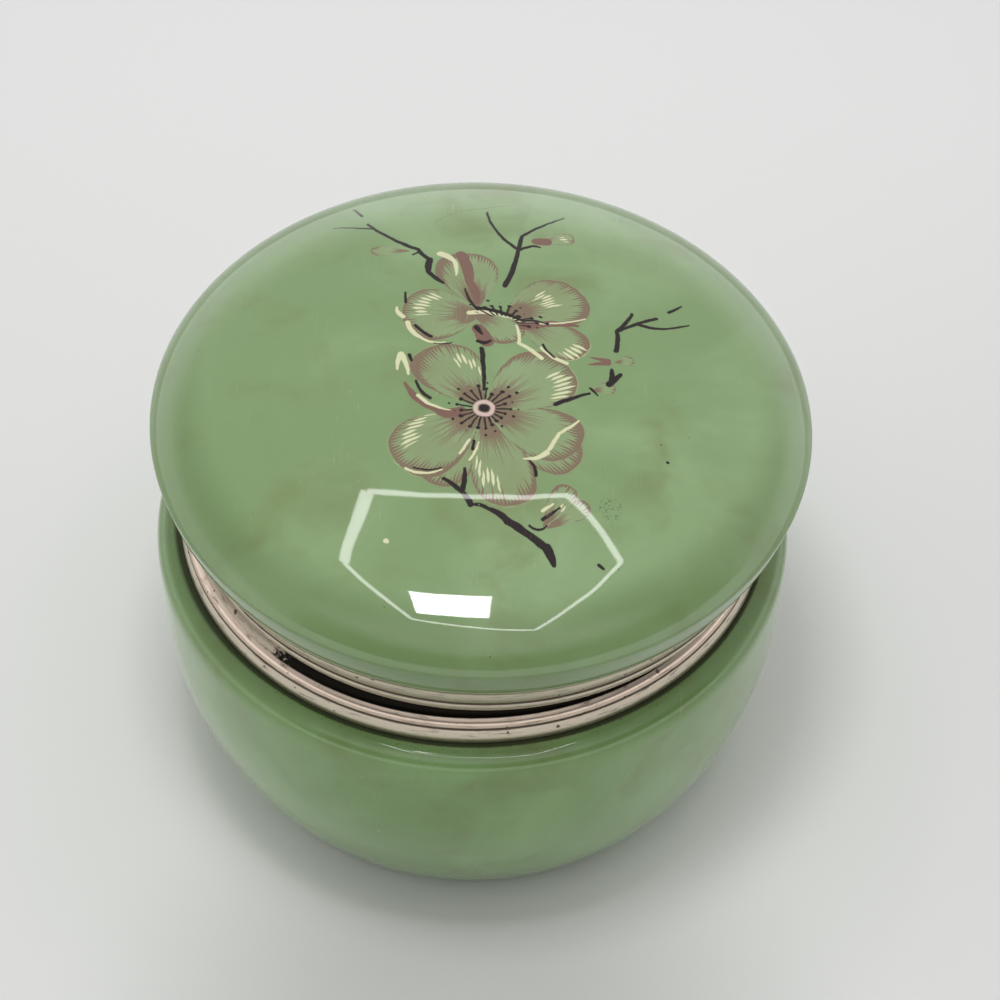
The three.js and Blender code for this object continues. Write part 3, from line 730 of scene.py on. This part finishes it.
def makeBowl(groups):
    b = bowlStone

    def flank(t):
        height = b["footRounding"] + (b["bellyHeight"] - b["footRounding"]) * t
        fall = (b["bellyHeight"] - height) / b["bellyHeight"]
        return b["radius"] - (b["radius"] - b["footRadius"]) * fall ** b["flankPower"], height

    # the shoulder turns in sharply and leaves a shallow shelf about the mount
    power = b["shoulderPower"]
    rise = (b["seamHeight"] - b["bellyHeight"]) / (1 - (b["seamRadius"] / b["radius"]) ** power) ** (1 / power)
    shoulder = quarter(b["radius"], b["bellyHeight"], rise, power, 90)
    outline = [(0, 0), (b["footRadius"] - b["footRounding"] * 0.6, 0, 1.6)]
    outline += [(flank(0)[0], flank(0)[1], 0.8)] + curve(40, flank)[1:]
    outline += [point for point in shoulder[1:] if point[0] > b["seamRadius"] + 0.3]
    outline += [(b["seamRadius"], b["seamHeight"], 0.15)]
    outline += [(b["spigotRadius"], b["seamHeight"]), (b["spigotRadius"], b["spigotTop"])]
    outline += [(b["mouthRadius"], b["spigotTop"], 0.5)]
    outline += quarter(b["radius"] - b["wall"], b["bellyHeight"], b["floor"] - b["bellyHeight"],
                       b["cavityPower"], 32)
    finish = alabaster("bowlAlabaster", groups, b["seamHeight"])
    piece = turn("bowl_stone", outline, finish)
    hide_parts("bowl")


bowlMount = {
    "seam": (50.55, 52.05), "groove": (50.1, 55.1), "grooveDepth": 0.45, "grooveHalf": 0.28,
    "ledge": (49.1, 56.85), "slopeTop": (47.9, 58.0), "collarTop": 59.6, "bore": 46.4,
    "plateInner": 44.04, "plateUnderside": 56.05, "inside": 48.35,
}


def makeBowlMount(groups):
    b = bowlMount
    groove, half = b["groove"], b["grooveHalf"]
    outline = [
        (b["inside"], b["seam"][1]), (b["seam"][0], b["seam"][1], 0.2),
        (50.62, 53.4, 0.5), (groove[0], groove[1] - half, 0.12), (groove[0] - b["grooveDepth"], groove[1], 0.1),
        (groove[0], groove[1] + half, 0.12), (49.95, 56.3, 0.5), (b["ledge"][0], b["ledge"][1], 0.12),
        b["slopeTop"], (b["slopeTop"][0], b["collarTop"], 0.3), (b["bore"], b["collarTop"], 0.2),
        (b["bore"], b["ledge"][1]), (b["plateInner"], b["ledge"][1], 0.2),
        (b["plateInner"], b["plateUnderside"], 0.2), (b["inside"], b["plateUnderside"]),
    ]
    grooves = [(groove[1], half), (b["seam"][1], 0.2)]
    pinkBand, blackBand = (groove[1], b["ledge"][1]), (b["ledge"][1], b["slopeTop"][1] + 1)
    finish = agedMetal("bowlMetal", groups, grooves, pinkBand, blackBand)
    piece = turn("bowl_mount", outline, finish, closed=True)
    # the seat slopes with the lid
    for vert in piece.data.vertices:
        rise = min(max((vert.co.z / mm - b["slopeTop"][1] - 0.2) / 0.6, 0), 1)
        vert.co.z -= rise * (vert.co.x - lidSeat["shift"] * mm) * math.tan(lidSeat["lean"])
    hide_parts("bowl_rim")


lidMount = {
    "bottom": (49.7, 0.0), "groove": (50.1, 2.3), "grooveDepth": 0.45, "grooveHalf": 0.28,
    "seam": (50.5, 5.9), "inside": 48.35, "plate": 0.8, "lip": 45.04, "mouthRadius": 44.24, "lipDepth": 2,
}


def makeLidMount(groups):
    b = lidMount
    groove, half = b["groove"], b["grooveHalf"]
    outline = [
        (b["mouthRadius"], -b["lipDepth"], 0.2), (b["lip"], -b["lipDepth"], 0.2), (b["lip"], 0),
        (b["bottom"][0], b["bottom"][1], 0.35), (50.1, 1.2, 0.4), (groove[0], groove[1] - half, 0.12),
        (groove[0] - b["grooveDepth"], groove[1], 0.1), (groove[0], groove[1] + half, 0.12),
        (50.45, 4.2, 0.8), (b["seam"][0], b["seam"][1], 0.2), (b["inside"], b["seam"][1]),
        (b["inside"], b["plate"]), (b["mouthRadius"], b["plate"], 0.2),
    ]
    grooves = [(groove[1], half), (b["seam"][1], 0.2)]
    finish = agedMetal("lidMetal", groups, grooves, (-1, -1), leaning=True)
    piece = turn("lid_mount", outline, finish, place=seatMatrix, closed=True)
    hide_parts("lid_rim")


lidStone = {
    "seamRadius": 50.7, "seam": 6.2, "domeRadius": 55.84, "domeBase": 12.74, "domeRise": 14.36,
    "domePower": 2.34, "domeEnds": 54.4, "edge": (55.1, 16.0), "edgeRounding": 0.4, "undersidePower": 1.45,
    "wall": 8, "mouthRadius": 44.04, "spigotRadius": 48.05, "spigotBottom": 1.1, "cavityPower": 3,
    "waveSize": 6, "waveDepth": 0.012,
}


def makeLid(groups):
    b = lidStone
    edgeRadius, edgeHeight = b["edge"]

    def underside(t):
        angle = t * math.pi / 2
        return (b["seamRadius"] + (edgeRadius - b["seamRadius"]) * math.sin(angle) ** (2 / b["undersidePower"]),
                edgeHeight - (edgeHeight - b["seam"]) * math.cos(angle) ** (2 / b["undersidePower"]))

    rise = b["domeBase"] - b["seam"] + b["domeRise"] - b["wall"]
    ceiling = quarter(b["mouthRadius"], b["seam"], rise, b["cavityPower"], 28)
    outline = ceiling[::-1] + [(b["mouthRadius"], b["spigotBottom"], 0.3)]
    outline += [(b["spigotRadius"], b["spigotBottom"])]
    outline += [(b["spigotRadius"], b["seam"]), (*underside(0), 0.2)]
    outline += [point for point in curve(20, underside)[1:] if point[0] < edgeRadius - 0.8]
    outline += [(*b["edge"], b["edgeRounding"])]
    outline += [point for point in quarter(b["domeRadius"], b["domeBase"], b["domeRise"], b["domePower"], 80)
                if point[0] < b["domeEnds"]]
    finish = alabaster("lidAlabaster", groups, b["seam"], leaning=True)
    piece = turn("lid_stone", outline, finish, place=seatMatrix)
    for i, zone in enumerate(printZones()):
        piece.data.materials.append(alabaster("lidPrint%d" % i, groups, b["seam"], leaning=True, zone=zone))
    toLid = seatMatrix.inverted()
    for face in piece.data.polygons:
        x, y = (toLid @ face.center).xy / mm
        for i, (left, right, front, back) in enumerate(printZones()):
            if face.normal.z > 0.2 and left <= x < right and front <= y < back:
                face.material_index = i + 1
    # the polish follows slight waves, which shake the lamps' reflections
    for vert in piece.data.vertices:
        rise = noiseTools.noise(vert.co / (b["waveSize"] * mm)) - 1
        if vert.normal.z > 0.2:
            vert.co += vert.normal * rise * b["waveDepth"] * mm
    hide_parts("lid")


# fitted to the photograph: where the belly's middle lies in the camera's own axes
cameraFit = {"lens": 90.5, "pitch": 49.89, "roll": 1.38, "right": -4.83, "down": 8.22, "away": 446.0}


def makeCamera():
    c = cameraFit
    pitch, roll = math.radians(c["pitch"]), math.radians(c["roll"])
    forward = Vector((0, math.cos(pitch), -math.sin(pitch)))
    level, plumb = Vector((1, 0, 0)), Vector((0, -math.sin(pitch), -math.cos(pitch)))
    right = level * math.cos(roll) - plumb * math.sin(roll)
    down = level * math.sin(roll) + plumb * math.cos(roll)
    belly = Vector((0, 0, bowlStone["bellyHeight"]))
    place = belly - right * c["right"] - down * c["down"] - forward * c["away"]
    camera = bpy.data.objects.new("camera", bpy.data.cameras.new("camera"))
    camera.data.lens = c["lens"]
    camera.data.sensor_width = 36
    turned = Matrix((right, -down, -forward)).transposed().to_4x4()
    camera.matrix_world = Matrix.Translation(place * mm) @ turned
    scene.collection.objects.link(camera)
    scene.camera = camera


# the lamps hang over the box, where the polished lid mirrors them as the photograph shows
room = {
    "wall": (1.35, 1.36, 1.37), "ceiling": (0.5, 0.5, 0.5), "overhead": (1.2, 1.2, 1.18),
    "dark": (0.02, 0.02, 0.02), "darkTowards": (0.3, -1.0),
    "lampHeight": 500, "lampCorners": [(-91, 185), (87, 194), (172, 55), (99, -162), (-82, -124), (-142, 35)],
    "tubeWidths": [8, 8, 8, 8, 8, 14], "tubeRadiance": 9, "panel": (-22, -57, 96, 76), "panelRadiance": 27,
    # the floor's colours towards the back and the front are painted light and painted shade
    "floor": (0.80, 0.80, 0.79, 1), "floorBackPaintedLight": (0.91, 0.91, 0.905, 1), "floorFrontPaintedShade": (0.74, 0.75, 0.735, 1),
    # a painted shadow of the box: its colour, its half sizes in metres, and how far in front of the box's
    # middle it lies
    "boxPaintedShadow": (0.36, 0.37, 0.35, 1), "paintedShadowSize": (0.075, 0.06), "paintedShadowAhead": 0.075,
}


def addLamp(name, place, size, radiance, turned=0.0):
    light = bpy.data.lights.new(name, "AREA")
    light.shape = "RECTANGLE"
    light.size, light.size_y = size[0] * mm, size[1] * mm
    light.energy = radiance * math.pi * light.size * light.size_y
    lamp = bpy.data.objects.new(name, light)
    lamp.location = Vector(place) * mm
    lamp.rotation_euler = (0, 0, turned)
    scene.collection.objects.link(lamp)


def makeRoom():
    world = bpy.data.worlds.new("studio")
    scene.world = world
    world.use_nodes = True
    tree = world.node_tree
    direction = addNode(tree, "TexCoord").outputs["Generated"]
    towards = Vector((*room["darkTowards"], 0)).normalized()
    facing = vectorCalc(tree, "DOT_PRODUCT", direction, towards)
    along = split(tree, direction)
    back, height = along["Y"], along["Z"]
    # the wall behind the box ends lower, where the back of the lid mirrors it
    raised = calc(tree, "MULTIPLY_ADD", calc(tree, "MAXIMUM", back, 0.0), 0.16, height)
    colour = blend(tree, ramp(tree, raised, 0.35, 0.6), (*room["wall"], 1), (*room["ceiling"], 1))
    over = calc(tree, "MULTIPLY", ramp(tree, back, -0.1, -0.35), ramp(tree, height, 0.74, 0.86))
    colour = blend(tree, over, colour, (*room["overhead"], 1))
    shade = calc(tree, "MULTIPLY", ramp(tree, height, 0.78, 0.68), ramp(tree, height, 0.3, 0.42))
    shade = calc(tree, "MULTIPLY", shade, ramp(tree, facing, 0.12, 0.42))
    colour = blend(tree, shade, colour, (*room["dark"], 1))
    tree.links.new(colour, tree.nodes["Background"].inputs["Color"])

    corners = [Vector((*corner, room["lampHeight"])) for corner in room["lampCorners"]]
    for i, width in enumerate(room["tubeWidths"]):
        first, second = corners[i], corners[(i + 1) % len(corners)]
        side = second - first
        addLamp("tube%d" % i, (first + second) / 2, (side.length, width), room["tubeRadiance"],
                math.atan2(side.y, side.x))
    x, y, width, depth = room["panel"]
    addLamp("panel", (x, y, room["lampHeight"]), (width, depth), room["panelRadiance"])

    bm = bmesh.new()
    bmesh.ops.create_grid(bm, x_segments=1, y_segments=1, size=1.5)
    mesh = bpy.data.meshes.new("floor")
    bm.to_mesh(mesh)
    bm.free()
    floor = bpy.data.objects.new("floor", mesh)
    scene.collection.objects.link(floor)
    material, tree, shader = newMaterial("floor")
    side, depth = split(tree, addNode(tree, "TexCoord").outputs["Object"])[:2]
    # painted light and shade: the floor is lighter towards the back and darker towards the front
    colour = blend(tree, ramp(tree, depth, 0.02, 0.22), room["floor"], room["floorBackPaintedLight"])
    colour = blend(tree, ramp(tree, depth, -0.06, -0.13), colour, room["floorFrontPaintedShade"])
    # a painted shadow of the box on the cloth, well to its front
    wide, deep = room["paintedShadowSize"]
    ahead = calc(tree, "MULTIPLY_ADD", depth, 1 / deep, room["paintedShadowAhead"] / deep)
    away = hypot(tree, calc(tree, "DIVIDE", side, wide), ahead)
    colour = blend(tree, ramp(tree, away, 1.0, 0.2, 0.0, 0.5), colour, room["boxPaintedShadow"])
    tree.links.new(colour, shader.inputs["Base Color"])
    shader.inputs["Roughness"].default_value = 0.7
    mesh.materials.append(material)


makeCamera()
finishes = makeFinishes()
makeBowl(finishes)
makeBowlMount(finishes)
makeLidMount(finishes)
makeLid(finishes)
makeRoom()
print("scene made")
